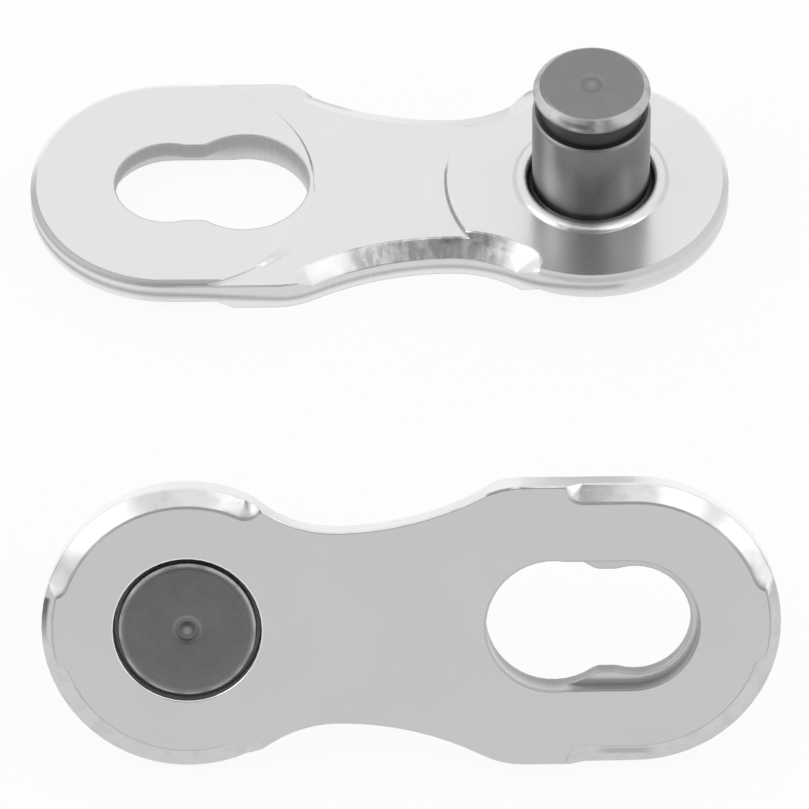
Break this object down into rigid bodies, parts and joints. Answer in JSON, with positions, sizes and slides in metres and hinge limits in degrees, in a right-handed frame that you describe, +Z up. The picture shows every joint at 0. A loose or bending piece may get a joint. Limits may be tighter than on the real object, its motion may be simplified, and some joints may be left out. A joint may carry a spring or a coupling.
{
  "type": "chain connecting link",
  "caption": "Snap-together connecting link for a cycle chain: two waisted steel plates, each with a grooved pin at one end and a keyhole slot at the other.",
  "frame": {"origin": "middle of the ground under both halves: centre of the bottom of the box round the whole part", "axes": "+Z up, along the rear half's upright pin; +X along both plates, towards the rear half's pin; +Y from the leaning front half to the flat rear half"},
  "size_m": [0.0218, 0.0264, 0.0076],
  "materials": {
    "plate": "satin nickel-plated steel, stamped and coined",
    "pin": "dark turned and hardened steel, ends faced on a lathe"
  },
  "bodies": {
    "root": {"rear_plate": "plate", "rear_pin": "pin", "front_plate": "plate", "front_pin": "pin"}
  },
  "joints": []
}
